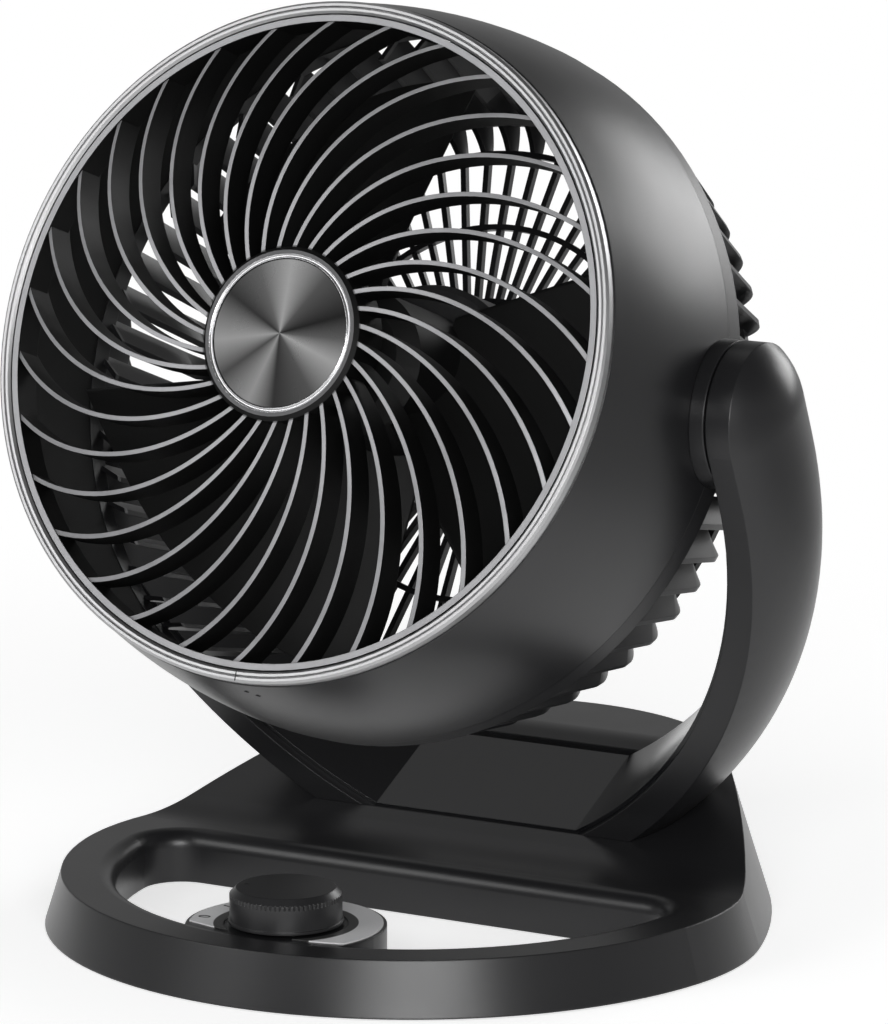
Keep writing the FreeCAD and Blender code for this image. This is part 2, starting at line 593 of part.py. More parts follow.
def polar(centre, radius, degrees):
    angle = math.radians(degrees)
    return centre + Vector(radius * math.cos(angle), radius * math.sin(angle), 0)


def base_outline(inset, height):
    """The base's outline: front, corner, flank and rear arcs, all tangent, drawn in by inset."""
    corner_centre = polar(FRONT_CENTRE, d.front_radius - d.corner_radius, d.corner_from)
    flank_centre = polar(corner_centre, d.corner_radius - d.flank_radius, d.corner_to)
    flank_end = polar(flank_centre, d.flank_radius, d.flank_to)
    rear_radius = flank_end.x / math.cos(math.radians(d.flank_to))
    rear_centre = Vector(0, flank_end.y - flank_end.x * math.tan(math.radians(d.flank_to)), 0)
    spans = [(corner_centre, d.corner_radius, d.corner_from, d.corner_to),
             (flank_centre, d.flank_radius, d.corner_to, d.flank_to)]
    lift = Vector(0, 0, height)
    right, left = [], []
    for centre, radius, start, end in spans:
        points = [polar(centre, radius - inset, angle) + lift for angle in (start, (start + end) / 2, end)]
        right.append(Part.Arc(*points).toShape())
        left.append(Part.Arc(*[Vector(-p.x, p.y, p.z) for p in reversed(points)]).toShape())
    rear = [polar(rear_centre, rear_radius - inset, angle) + lift
            for angle in (d.flank_to, 90, 180 - d.flank_to)]
    front = [polar(FRONT_CENTRE, d.front_radius - inset, angle) + lift
             for angle in (180 - d.corner_from, 270, d.corner_from)]
    return Part.Wire(right + [Part.Arc(*rear).toShape()] + left[::-1] + [Part.Arc(*front).toShape()])


def deck_profile(drop):
    """Side view of the deck: flat at the front, up the yoke's lean, then flat again at the rear."""
    lean = math.radians(d.yoke_lean)
    reach = 2 * d.base_front
    level = d.rim_height
    foot = YOKE.multVec(Vector(0, FRONT_DEPTH, d.floor_height)) + Vector(0, 0, d.deck_lift)
    rise_end = level + d.rise_radius * (1 - math.cos(lean))
    rise_y = foot.y + (rise_end - foot.z) / math.tan(lean)
    rise_start = rise_y - d.rise_radius * math.sin(lean)
    crest_z = foot.z + (d.crest_y - foot.y) * math.tan(lean)
    crest_end = Vector(0, d.crest_y + d.crest_radius * math.sin(lean),
                       crest_z + d.crest_radius * (1 - math.cos(lean)))
    half = lean / 2
    rise = Part.Arc(Vector(0, rise_start, level),
                    Vector(0, rise_start + d.rise_radius * math.sin(half),
                           level + d.rise_radius * (1 - math.cos(half))), Vector(0, rise_y, rise_end))
    crest = Part.Arc(Vector(0, d.crest_y, crest_z),
                     Vector(0, crest_end.y - d.crest_radius * math.sin(half),
                            crest_end.z - d.crest_radius * (1 - math.cos(half))), crest_end)
    corners = [Vector(0, rise_y, rise_end), Vector(0, d.crest_y, crest_z)]
    edges = [rise.toShape(), Part.LineSegment(*corners).toShape(), crest.toShape()]
    path = [crest_end, Vector(0, reach, crest_end.z), Vector(0, reach, -reach), Vector(0, -reach, -reach),
            Vector(0, -reach, level), Vector(0, rise_start, level)]
    edges += [Part.LineSegment(a, b).toShape() for a, b in zip(path, path[1:])]
    solid = face_of(Part.__sortEdges__(edges)).extrude(Vector(2 * reach, 0, 0))
    solid.translate(Vector(-reach, 0, -drop))
    return solid


def base_block(inset, drop, low):
    """The drafted outline under the deck, from a low plane up."""
    high = 2 * d.pod_radius
    slope = math.tan(math.radians(d.base_draft))
    sides = Part.makeLoft([base_outline(inset + low * slope, low), base_outline(inset + high * slope, high)],
                          True, True)
    return sides.common(deck_profile(drop))


def loop_opening(grow):
    """The opening inside the front loop, as a tall cutter with rounded rear corners."""
    radius, back, bend = d.open_radius + grow, d.open_back + grow, d.open_corner + grow
    centre_y = back - bend
    centre_x = math.sqrt((radius - bend) ** 2 - (centre_y - FRONT_CENTRE.y) ** 2)
    touch = math.degrees(math.atan2(centre_y - FRONT_CENTRE.y, centre_x))
    right = Vector(centre_x, centre_y, 0)
    bend_points = [polar(right, bend, angle) for angle in (touch, (touch + 90) / 2, 90)]
    mirrored = [Vector(-p.x, p.y, p.z) for p in reversed(bend_points)]
    loop = [polar(FRONT_CENTRE, radius, angle) for angle in (180 - touch, 270, touch)]
    edges = [Part.Arc(*bend_points).toShape(), Part.LineSegment(bend_points[2], mirrored[0]).toShape(),
             Part.Arc(*mirrored).toShape(), Part.Arc(*loop).toShape()]
    cutter = face_of(Part.__sortEdges__(edges)).extrude(Vector(0, 0, 4 * d.pod_radius))
    cutter.translate(Vector(0, 0, -d.pod_radius))
    return cutter


KNOB_CENTRE = Vector(0, d.knob_y, 0)
COVER_TOP = d.shell_foot + d.cover_wall
SCREW_TURNS = (-d.screw_side, -d.screw_front, 180 + d.screw_side, 180 + d.screw_front)


def pod(radius, low, high):
    return Part.makeCylinder(radius, high - low, Vector(KNOB_CENTRE.x, KNOB_CENTRE.y, low))


def on_floor(turn):
    """A point on the middle of the front loop, at an angle round it."""
    return polar(FRONT_CENTRE, d.foot_ring, turn)


BASE_SCREWS = [on_floor(turn) + Vector(0, 0, d.shell_foot) for turn in SCREW_TURNS]
BASE_SCREWS += [Vector(sign * d.rear_screw_x, d.rear_screw_y, d.shell_foot) for sign in (-1, 1)]
FEET = [on_floor(turn) for turn in (-d.foot_turn, 180 + d.foot_turn)]
FEET += [Vector(sign * d.rear_foot_x, d.rear_foot_y, 0) for sign in (-1, 1)]

REAR_Y = base_outline(0, 0).BoundBox.YMax
DRAFT = math.radians(d.base_draft)
GLAND_AXIS = Vector(0, math.cos(DRAFT), math.sin(DRAFT))
GLAND_POINT = Vector(0, REAR_Y - d.gland_height * math.tan(DRAFT), d.gland_height)


def base_shell():
    low = d.skirt_low
    outer = base_block(0, 0, low).cut(loop_opening(0))
    opening = loop_opening(0)
    lip = [e for e in outer.Edges if abs(e.BoundBox.ZMin - d.rim_height) < 0.01
           and abs(e.BoundBox.ZMax - d.rim_height) < 0.01
           and opening.distToShape(Part.Vertex(e.valueAt(sum(e.ParameterRange) / 2)))[0] < 0.01]
    outer = outer.makeFillet(d.open_round, lip)
    inner = base_block(d.base_wall, d.base_wall, -low).cut(loop_opening(d.base_wall + d.open_round / 2))
    podium = pod(d.pod_radius, low, d.pod_height).common(base_block(0, 0, low))
    hollow = inner.fuse(pod(d.pod_radius - d.base_wall, -low, d.pod_height - d.base_wall))
    shell = outer.fuse(podium).cut(hollow)
    posts = [round_bar(d.post_radius, Vector(p.x, p.y, COVER_TOP), Vector(p.x, p.y, 2 * d.pod_radius))
             for p in BASE_SCREWS]
    core = base_block(d.base_wall / 2, d.base_wall / 2, low)
    shell = shell.multiFuse([post.common(core) for post in posts])
    seat = YOKE_SHAPE.fuse(yoke_inside())
    seat.Placement = YOKE
    shell = shell.cut(seat).cut(pod(d.spindle_radius + d.cover_gap, -low, d.knob_lift))
    shell = shell.cut(round_bar(d.gland_radius, GLAND_POINT - GLAND_AXIS * 2 * d.gland_radius,
                                GLAND_POINT + GLAND_AXIS * 2 * d.gland_radius))
    return drilled(shell, BASE_SCREWS, UP, d.screw_length)


def bottom_cover():
    inset = d.base_wall + d.cover_gap
    slab = base_block(inset, 0, d.shell_foot)
    level = Part.makeBox(4 * d.base_front, 4 * d.base_front, d.cover_wall,
                         Vector(-2 * d.base_front, -2 * d.base_front, d.shell_foot))
    grown = d.base_wall + d.open_round / 2 + d.cover_gap
    cover = slab.common(level).cut(loop_opening(grown))
    cover = cover.fuse(pod(d.pod_radius - inset, d.shell_foot, COVER_TOP)).removeSplitter()
    return drilled(cover, BASE_SCREWS, UP, d.screw_length)


feature("base_shell", base_shell())
feature("bottom_cover", bottom_cover())
feature("rubber_feet", Part.makeCompound([Part.makeCylinder(d.foot_radius, d.shell_foot, p) for p in FEET]))
feature("base_screws", Part.makeCompound([screw(p, UP, d.screw_length) for p in BASE_SCREWS]))
gland = round_bar(d.gland_radius, GLAND_POINT - GLAND_AXIS * d.gland_radius, GLAND_POINT)
collar = round_bar(d.gland_flange, GLAND_POINT, GLAND_POINT + GLAND_AXIS * d.gland_collar)
bore = round_bar(d.gland_bore, GLAND_POINT - GLAND_AXIS * 2 * d.gland_radius,
                 GLAND_POINT + GLAND_AXIS * 2 * d.gland_radius)
feature("cord_gland", gland.fuse(collar).cut(bore))
capacitor_z = COVER_TOP + d.capacitor_radius
capacitor_end = Vector(d.capacitor_length / 2, d.rear_foot_y, capacitor_z)
capacitor_start = capacitor_end - Vector(d.capacitor_length, 0, 0)
feature("run_capacitor", round_bar(d.capacitor_radius, capacitor_start, capacitor_end))

# Motor screws
BACK = d.seam_z - d.guard_depth
MOTOR_SCREWS = [polar(Vector(0, 0, BACK), d.motor_radius - d.motor_flange / 2, d.motor_screw_turn + 90 * k)
                for k in range(4)]
MOTOR_SCREW_LENGTH = d.guard_plate + d.flange_wall
feature("motor_screws", Part.makeCompound([screw(p, UP, MOTOR_SCREW_LENGTH) for p in MOTOR_SCREWS]), HEAD)
motor_holes = Part.makeCompound([shank_hole(p, UP, MOTOR_SCREW_LENGTH) for p in MOTOR_SCREWS])
cut_from("motor_housing", motor_blank, motor_holes, HEAD)
cut_from("rear_guard", guard_blank, motor_holes, HEAD)

# Control: dial plate, rotary switch, its spindle and the knob
POD = Placement(KNOB_CENTRE, Rotation())
dial = pod(d.dial_radius, d.pod_height, d.pod_height + d.dial_wall)
dial = dial.cut(pod(d.dial_inner, d.pod_height, d.pod_height + d.dial_wall)).common(loop_opening(0))
feature("dial_plate", dial)
switch_top = d.pod_height - d.base_wall
half = d.switch_size / 2
switch = Part.makeBox(d.switch_size, d.switch_size, d.switch_height,
                      KNOB_CENTRE + Vector(-half, -half, switch_top - d.switch_height))
feature("rotary_switch", switch.cut(pod(d.spindle_radius + d.shaft_clear, 0, d.knob_top)))
turned("switch_spindle", [
    ("0", "pod_height - base_wall - switch_height + spindle_seat"),
    ("spindle_radius", "pod_height - base_wall - switch_height + spindle_seat"),
    ("spindle_radius", "spindle_top"),
    ("0", "spindle_top"),
], POD)
knob_body = turned("knob", [
    ("spindle_radius", "knob_lift"),
    ("stem_radius", "knob_lift"),
    ("stem_radius", "knob_top - knob_wall"),
    ("knob_radius - knob_wall", "knob_top - knob_wall - knob_bevel"),
    ("knob_radius - knob_wall", "knob_lift"),
    ("knob_radius + knob_flange", "knob_lift"),
    ("knob_radius + knob_flange", "knob_lift + knob_flange * 2"),
    ("knob_radius", "knob_lift + knob_flange * 2"),
    ("knob_radius", "knob_top - knob_bevel"),
    ("knob_radius - knob_bevel", "knob_top"),
    ("0", "knob_top"),
    ("0", "spindle_top"),
    ("spindle_radius", "spindle_top"),
], POD)
tooth_low = d.knob_top - d.tooth_length
tooth_half = math.pi * d.knob_radius / d.knob_teeth
groove = face_of(loop_of([Vector(d.knob_radius - d.tooth_depth, 0, tooth_low),
                          Vector(d.knob_radius + d.tooth_depth, tooth_half, tooth_low),
                          Vector(d.knob_radius + d.tooth_depth, -tooth_half, tooth_low)]))
groove = groove.extrude(Vector(0, 0, d.knob_top))
cut_from("knob", knob_body, Part.makeCompound(copies(groove, d.knob_teeth)), POD)

# Checks, then one file for each sub-part
doc.recompute()
faults = [o.Name for o in doc.Objects if "Invalid" in o.State or "Error" in o.State]
faults += [p.Label for p in PIECES if p.Shape.isNull() or not p.Shape.isValid()]
if faults:
    raise SystemExit(f"failed: {sorted(set(faults))}")
os.makedirs("parts", exist_ok=True)
for piece in PIECES:
    piece.Shape.exportStep(f"parts/{piece.Label}.step")
    box = piece.Shape.BoundBox
    print(f"{piece.Label}: {len(piece.Shape.Solids)} solid(s), {piece.Shape.Volume / 1000:.1f} cm3,"
          f" {box.XLength:.1f} x {box.YLength:.1f} x {box.ZLength:.1f} mm")
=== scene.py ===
# %% [markdown]
# # A portable table fan
# The solids of the fan come ready from its CAD model, in metres, standing on z = 0 with the air
# blowing towards -Y. Nothing is moved here: this lesson dresses the solids with finishes, adds the
# small marks that solids don't carry, and sets up a studio to look at them.

# %% Load the solids
import json
import math

import bmesh
import bpy
from mathutils import Matrix, Vector


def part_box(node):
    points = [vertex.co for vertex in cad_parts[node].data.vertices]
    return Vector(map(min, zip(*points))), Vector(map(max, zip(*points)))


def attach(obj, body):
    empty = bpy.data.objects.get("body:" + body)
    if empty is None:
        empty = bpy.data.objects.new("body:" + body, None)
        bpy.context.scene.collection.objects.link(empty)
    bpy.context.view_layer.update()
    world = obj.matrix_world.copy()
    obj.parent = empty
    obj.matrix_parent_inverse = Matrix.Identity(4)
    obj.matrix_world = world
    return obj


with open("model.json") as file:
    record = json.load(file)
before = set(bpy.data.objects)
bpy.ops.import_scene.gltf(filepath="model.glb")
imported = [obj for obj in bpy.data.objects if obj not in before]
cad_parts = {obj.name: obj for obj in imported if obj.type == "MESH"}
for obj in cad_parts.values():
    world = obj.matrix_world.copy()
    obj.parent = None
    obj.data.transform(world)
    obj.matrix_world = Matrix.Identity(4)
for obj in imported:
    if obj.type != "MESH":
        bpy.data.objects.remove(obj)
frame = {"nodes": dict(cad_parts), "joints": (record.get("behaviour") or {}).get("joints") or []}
solids = frame["nodes"]
joints = {joint["name"]: joint for joint in frame["joints"]}
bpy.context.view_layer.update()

# %% [markdown]
# The head turns about the pivot between the arms, and everything round in it shares the fan's own
# axis. Both come from the joint that spins the rotor, so no number is copied by hand, and the
# finishes below can draw rings round that axis.

# %% The fan's axis
pivot = Vector(joints["fan_spin"]["pos_m"])
fan_axis = Vector(joints["fan_spin"]["axis"]).normalized()
across = Vector((1, 0, 0))
head_up = fan_axis.cross(across)
head_place = Matrix((across, head_up, fan_axis)).transposed().to_4x4()
head_place.translation = pivot
print("axis", [round(v, 3) for v in fan_axis], "up in the head", [round(v, 3) for v in head_up])

# %% [markdown]
# A finish is a tree of shader nodes. Wiring each Math node by hand hides the idea, so a socket is
# wrapped in a small class whose operators add the nodes: `1 - mask * 0.2` then reads as it is meant.
# Every other kind of node comes from one method, which sets its options first and its sockets next.
# A Mix node has sockets for each kind of value: 4 and 5 are its vectors, 6 and 7 its colours.

# %% Shader helpers
BEVEL_SAMPLES = 6
STRAY_COSINES = 0.99, 0.97


class Flow:
    """A socket in a finish. Arithmetic on it adds Math nodes."""

    def __init__(self, finish, socket):
        self.finish, self.socket = finish, socket

    def maths(self, operation, first, second):
        return self.finish.node("ShaderNodeMath", {"operation": operation}, {0: first, 1: second})

    def __add__(self, other):
        return self.maths("ADD", self, other)

    def __sub__(self, other):
        return self.maths("SUBTRACT", self, other)

    def __mul__(self, other):
        return self.maths("MULTIPLY", self, other)

    def __truediv__(self, other):
        return self.maths("DIVIDE", self, other)

    def __rsub__(self, other):
        return self.maths("SUBTRACT", other, self)

    __radd__, __rmul__ = __add__, __mul__

    def __rtruediv__(self, other):
        return self.maths("DIVIDE", other, self)


class Nodes:
    """A tree of shader nodes, whose only way to get a new node is the method below."""

    def __init__(self, tree):
        self.tree = tree

    def node(self, kind, settings=None, sockets=None, output=0):
        made = self.tree.nodes.new(kind)
        for name, value in (settings or {}).items():
            if name == "stops":
                for index, (place, colour) in enumerate(value):
                    stops = made.color_ramp.elements
                    stop = stops[index] if index < len(stops) else stops.new(place)
                    stop.position, stop.color = place, colour
            else:
                setattr(made, name, value)
        for name, value in (sockets or {}).items():
            self.feed(made.inputs[name], value)
        return Flow(self, made.outputs[output])

    def feed(self, socket, value):
        if isinstance(value, Flow):
            self.tree.links.new(value.socket, socket)
        else:
            socket.default_value = value

    def vector(self, operation, first, second=(0, 0, 0), output="Vector"):
        return self.node("ShaderNodeVectorMath", {"operation": operation}, {0: first, 1: second}, output)

    def ease(self, value, low, high):
        """A mask that runs smoothly from 0 to 1 as the value runs from low to high."""
        return self.node("ShaderNodeMapRange", {"interpolation_type": "SMOOTHSTEP"},
                         {"Value": value, "From Min": low, "From Max": high})

    def shades(self, mask, dark, light):
        """A colour that runs from dark to light as the mask runs from 0 to 1."""
        return self.node("ShaderNodeMix", {"data_type": "RGBA"},
                         {"Factor": mask, 6: (*dark, 1), 7: (*light, 1)}, 2)


class Finish(Nodes):
    """One material: a Principled shader and the nodes that feed it."""

    def __init__(self, name, **constants):
        self.material = bpy.data.materials.new(name)
        self.material.use_nodes = True
        super().__init__(self.material.node_tree)
        self.shader = self.tree.nodes["Principled BSDF"]
        self.set(**constants)

    def set(self, **sockets):
        for name, value in sockets.items():
            self.feed(self.shader.inputs[name.replace("_", " ")], value)
        return self

    def place(self):
        return self.node("ShaderNodeTexCoord", output="Object")

    def outward(self):
        """The way that the surface looks."""
        return self.node("ShaderNodeTexCoord", output="Normal")

    def noise(self, scale, detail=3.0):
        return self.node("ShaderNodeTexNoise", None,
                         {"Vector": self.place(), "Scale": scale, "Detail": detail}, "Fac")

    def relief(self, height, depth, edge=0.0005, domed=False):
        """A bumped normal, over edges that are softly rounded by a radius. At the pole of a dome the
        shading normal can stray from the facet's own, which is then taken instead."""
        under = self.node("ShaderNodeBevel", {"samples": BEVEL_SAMPLES}, {"Radius": edge})
        if domed:
            shading = self.node("ShaderNodeNewGeometry", output="Normal")
            facet = self.node("ShaderNodeNewGeometry", output="True Normal")
            astray = self.ease(self.vector("DOT_PRODUCT", shading, facet, "Value"), *STRAY_COSINES)
            under = self.node("ShaderNodeMix", {"data_type": "VECTOR"}, {0: astray, 4: under, 5: facet}, 1)
        return self.node("ShaderNodeBump", None, {"Height": height, "Distance": depth, "Normal": under})


# %% [markdown]
# Three more helpers: one puts a finish on solids, one puts new data into the scene as an object, and one
# turns a sketched mesh into such an object with its finish on.


# %% Dressing and placing
def dress(finish, *names):
    """The finish goes on these solids, in place of their plain one."""
    for name in names:
        slots = solids[name].data.materials
        slots.clear()
        slots.append(finish.material)
    print(finish.material.name, "on", ", ".join(names))


def placed(name, data):
    """A new object in the scene for a mesh, a text, a lamp or a camera."""
    thing = bpy.data.objects.new(name, data)
    bpy.context.scene.collection.objects.link(thing)
    return thing


def shaped(name, sketch, finish):
    """A new object from a sketched mesh, which is freed."""
    mesh = bpy.data.meshes.new(name)
    sketch.to_mesh(mesh)
    sketch.free()
    mesh.materials.append(finish.material)
    return placed(name, mesh)


# %% [markdown]
# The mouldings are black satin plastic. A flat black looks like a hole, so the finish has what the
# mould leaves: a fine spark-eroded grain in the relief, and a roughness that wanders a little where the
# plastic cooled and where hands have been. The arms of the yoke end in domes, so its finish minds the
# poles of those.

# %% Moulded black plastic
GRAIN_SCALE, GRAIN_DEPTH = 2600.0, 0.00002
SHELL_TONE, SHELL_ROUGH, SHELL_EDGE = (0.011, 0.011, 0.012), 0.33, 0.0008
FRAME_TONE = (0.01, 0.01, 0.011)


def moulded_black(name, tone, rough, edge, domed=False):
    finish = Finish(name, Specular_IOR_Level=0.5)
    cloud = finish.noise(22.0)
    grain = finish.noise(GRAIN_SCALE, 2.0)
    finish.rough = rough + (cloud - 0.5) * 0.1 + (grain - 0.5) * 0.06
    colour = finish.shades(cloud, [t * 0.85 for t in tone], [t * 1.2 for t in tone])
    return finish.set(Base_Color=colour, Roughness=finish.rough,
                      Normal=finish.relief(grain, GRAIN_DEPTH, edge, domed))


satin = moulded_black("satin_black_shell", SHELL_TONE, SHELL_ROUGH, SHELL_EDGE)
dress(satin, "base_shell", "pivot_boss_left", "pivot_boss_right", "bottom_cover")
dress(moulded_black("satin_black_yoke", FRAME_TONE, SHELL_ROUGH, 0.0005, domed=True), "yoke")
dress(moulded_black("satin_black_guard", FRAME_TONE, 0.4, 0.0003), "rear_guard")
dress(moulded_black("knob_black", (0.016, 0.016, 0.017), 0.32, 0.0004), "knob")

# %% [markdown]
# The drum is polished outside only. Its inside keeps the dull skin of the mould, and so do the blades.
# The inside is also coloured darker than the outside, as painted shade, and the blades are a darker black
# than the shells, which is why the duct looks nearly black. Where the surface faces the fan's axis it is
# the inside: the way out from the axis, against the way that the surface looks, tells which.

# %% Drum and blades
INSIDE_SHADE, INSIDE_EASE = (0.002, 0.002, 0.002), 0.03


def from_axis(finish):
    """Where a point of the surface lies, seen from the pivot."""
    return finish.vector("SUBTRACT", finish.place(), tuple(pivot))


def axis_distance(finish):
    """How far a point of the surface lies from the fan's axis."""
    sideways = finish.vector("CROSS_PRODUCT", from_axis(finish), tuple(fan_axis))
    return finish.vector("LENGTH", sideways, output="Value")


drum = moulded_black("satin_black_drum", SHELL_TONE, SHELL_ROUGH, SHELL_EDGE)
away = drum.vector("DOT_PRODUCT", from_axis(drum), drum.outward(), "Value")
inside = drum.ease(away, INSIDE_EASE, -INSIDE_EASE)
# Painted shade: the inside of the drum takes a darker colour than the outside.
drum.set(Base_Color=drum.shades(inside, SHELL_TONE, INSIDE_SHADE), Roughness=drum.rough + inside * 0.5)
dress(drum, "front_shroud")
dress(moulded_black("dull_black_blades", (0.004, 0.004, 0.004), 0.6, 0.0003), "impeller", "blade_nut")

# %% [markdown]
# The vanes of the front grille are as black as the shells, but their front edges carry a painted
# highlight, so each reads as a thin pale line. Only the front edges look along the fan's axis, so the
# angle between the surface and the axis picks them out, and there the plastic turns a little towards
# metal. The rim of the hub, nearer to the axis, gets less of the painted highlight.

# %% Grille with rubbed edges
HUB_EDGE, HUB_EASE, HUB_SHARE = 0.0296, 0.0004, 0.35
# The pale grey is the painted highlight on the vanes' front edges.
VANE_BLACK, VANE_HIGHLIGHT = (0.004, 0.004, 0.004), (0.34, 0.34, 0.35)
HIGHLIGHT_COSINES = 0.72, 0.93
grille = Finish("satin_black_grille", Specular_IOR_Level=0.2)
facing = grille.vector("DOT_PRODUCT", grille.outward(), tuple(fan_axis), "Value")
past_hub = grille.ease(axis_distance(grille), HUB_EDGE, HUB_EDGE + HUB_EASE)
# Painted highlight: faces that look along the axis are coloured pale, and the hub's rim less so.
painted_edge_highlight = grille.ease(facing, *HIGHLIGHT_COSINES) * (HUB_SHARE + past_hub * (1 - HUB_SHARE))
wear_and_highlight_patches = grille.noise(90.0)
grille.set(Base_Color=grille.shades(painted_edge_highlight * (0.7 + wear_and_highlight_patches * 0.5), VANE_BLACK, VANE_HIGHLIGHT),
           Metallic=painted_edge_highlight * 0.3, Roughness=0.5 - painted_edge_highlight * 0.12 + (wear_and_highlight_patches - 0.5) * 0.12,
           Normal=grille.relief(grille.noise(GRAIN_SCALE, 2.0), GRAIN_DEPTH, 0.0003))
dress(grille, "front_grille")

# %% [markdown]
# The cover along the inside of the yoke is the one glossy moulding. Its roughness is low, with faint
# rubbed patches, so that it shows soft pictures of the room where the satin parts show none.

# %% Glossy liner
liner = Finish("gloss_black_liner", Specular_IOR_Level=0.4)
patches = liner.noise(35.0, 5.0)
liner.set(Base_Color=liner.shades(patches, (0.006, 0.006, 0.007), (0.01, 0.01, 0.011)),
          Roughness=0.13 + patches * 0.1, Normal=liner.relief(liner.noise(400.0), 0.000004, 0.0004))
dress(liner, "yoke_liner")

# %% [markdown]
# The ring round the grille is satin plated metal, and the disc in the middle is dark spun metal. Both
# were turned on a lathe, so their marks are rings round the fan's axis. The distance from the axis is
# worked out from the place on the surface, and drives a one-dimensional noise: very fine grooves.


# %% Turned metals
def turned_metal(name, dark, light, rough, pitch, depth):
    finish = Finish(name, Metallic=1.0)
    grooves = finish.node("ShaderNodeTexNoise", {"noise_dimensions": "1D"},
                          {"W": axis_distance(finish), "Scale": 1 / pitch, "Detail": 2.0}, "Fac")
    patina = finish.noise(60.0)
    finish.tone = grooves * 0.5 + patina * 0.5
    return finish.set(Base_Color=finish.shades(finish.tone, dark, light), Roughness=rough + patina * 0.08,
                      Normal=finish.relief(grooves, depth, 0.0003))


plated = turned_metal("plated_silver", (0.34, 0.34, 0.345), (0.5, 0.5, 0.505), 0.34, 0.0006, 0.000003)
dress(plated, "trim_ring")
rim = turned_metal("badge_rim", (0.5, 0.5, 0.51), (0.62, 0.62, 0.63), 0.22, 0.0006, 0.000002)
dress(rim, "badge_ring")

# %% [markdown]
# A spun disc shows wedges of light and shade round its middle, because its grooves mirror the lamps
# along lines that run out from the centre. Here the wedges are painted highlight and painted shade in the
# badge's colour: the angle round the axis goes through a ramp whose stops are the pale and the dark
# wedges, in degrees.

# %% Spun badge
# These two colours are the painted shade and the painted highlight of the wedges.
BADGE_SHADE, BADGE_HIGHLIGHT = 0.006, 0.12
SHEEN_WEDGES = ((0, 0.25), (19, 0.0), (55, 0.2), (90, 1.0), (120, 0.3), (151, 0.05), (190, 0.9), (219, 0.15),
          (252, 0.8), (275, 0.05), (310, 0.2), (340, 1.0), (360, 0.25))
badge = turned_metal("spun_badge", (0, 0, 0), (1, 1, 1), 0.24, 0.00022, 0.000006)
sideways = badge.vector("DOT_PRODUCT", from_axis(badge), tuple(across), "Value")
upwards = badge.vector("DOT_PRODUCT", from_axis(badge), tuple(head_up), "Value")
turn = badge.node("ShaderNodeMath", {"operation": "ARCTAN2"}, {0: upwards, 1: sideways}) / (2 * math.pi)
turn = badge.node("ShaderNodeMath", {"operation": "FRACT"}, {0: turn + 1.0})
# The ramp paints the badge's highlights and shade as wedges round the axis.
stops = [(degrees / 360, (pale, pale, pale, 1)) for degrees, pale in SHEEN_WEDGES]
painted_sheen = badge.node("ShaderNodeValToRGB", {"stops": stops}, {"Fac": turn})
badge.set(Base_Color=badge.shades(painted_sheen * (0.75 + badge.tone * 0.5), (BADGE_SHADE,) * 3, (BADGE_HIGHLIGHT,) * 3))
dress(badge, "hub_badge")

# %% [markdown]
# The small and hidden pieces have finishes too, because the fan is looked at from every side: steel
# with a drawn grain, zinc-plated sheet with its mottled crystals, rubber feet, natural nylon washers,
# and the mouldings and the can inside the base.


# %% Steel, rubber and hidden parts
def plain(name, dark, light, scale, rough, metal=0.0, depth=0.00001):
    finish = Finish(name, Metallic=metal)
    mottle = finish.noise(scale, 4.0)
    return finish.set(Base_Color=finish.shades(mottle, dark, light), Roughness=rough + (mottle - 0.5) * 0.2,
                      Normal=finish.relief(mottle, depth, 0.0003))


steel = plain("machined_steel", (0.42, 0.42, 0.43), (0.6, 0.6, 0.61), 900.0, 0.32, 1.0)
dress(steel, "motor_shaft", "rotor_core", "stator", "front_bearing", "rear_bearing", "motor_screws",
      "base_screws", "yoke_screws", "pivot_pin_left", "pivot_pin_right", "switch_spindle")
dress(plain("zinc_sheet", (0.4, 0.41, 0.42), (0.62, 0.62, 0.6), 160.0, 0.4, 1.0), "yoke_bracket")
rubber = plain("foot_rubber", (0.012, 0.012, 0.012), (0.03, 0.03, 0.03), 700.0, 0.75, 0.0, 0.00004)
dress(rubber, "rubber_feet", "cord_gland")
dress(plain("nylon", (0.6, 0.6, 0.57), (0.72, 0.71, 0.68), 300.0, 0.45), "friction_washer_left",
      "friction_washer_right")
dress(plain("motor_paint", (0.02, 0.02, 0.021), (0.04, 0.04, 0.041), 500.0, 0.4), "motor_housing")
dress(plain("switch_moulding", (0.2, 0.06, 0.025), (0.3, 0.09, 0.04), 400.0, 0.5), "rotary_switch")
dress(plain("capacitor_can", (0.5, 0.5, 0.5), (0.66, 0.66, 0.66), 250.0, 0.35, 1.0), "run_capacitor")

# %% [markdown]
# The dial is a pale ring round a dark well, whose darkness is painted shade at the foot of the knob. The
# distance from the knob's own axis tells the two apart.

# %% Dial
DIAL_WELL, WELL_EASE = 0.0243, 0.0003
WELL_SHADE, DIAL_PALE = (0.03, 0.03, 0.03), (0.72, 0.72, 0.73)
dial = Finish("dial_grey", Roughness=0.4)
from_knob = dial.vector("SUBTRACT", dial.place(), tuple(joints["knob_turn"]["pos_m"]))
from_knob = dial.vector("LENGTH", dial.vector("MULTIPLY", from_knob, (1, 1, 0)), output="Value")
# Painted shade: inside this radius the dial is coloured dark round the knob.
band = dial.ease(from_knob, DIAL_WELL, DIAL_WELL + WELL_EASE)
speck = dial.noise(1500.0)
dial.set(Base_Color=dial.shades(band * (0.85 + speck * 0.3), WELL_SHADE, DIAL_PALE),
         Normal=dial.relief(speck, 0.00001))
dress(dial, "dial_plate")

# %% [markdown]
# The dial carries plain numbers for off and three speeds. A text object gives the figures with no
# drawing; each is turned into a mesh a hair thicker than paint and laid on the dial, round the knob. The
# knob's pointer is a small dark dot near the edge of its top, beside the figure for off.

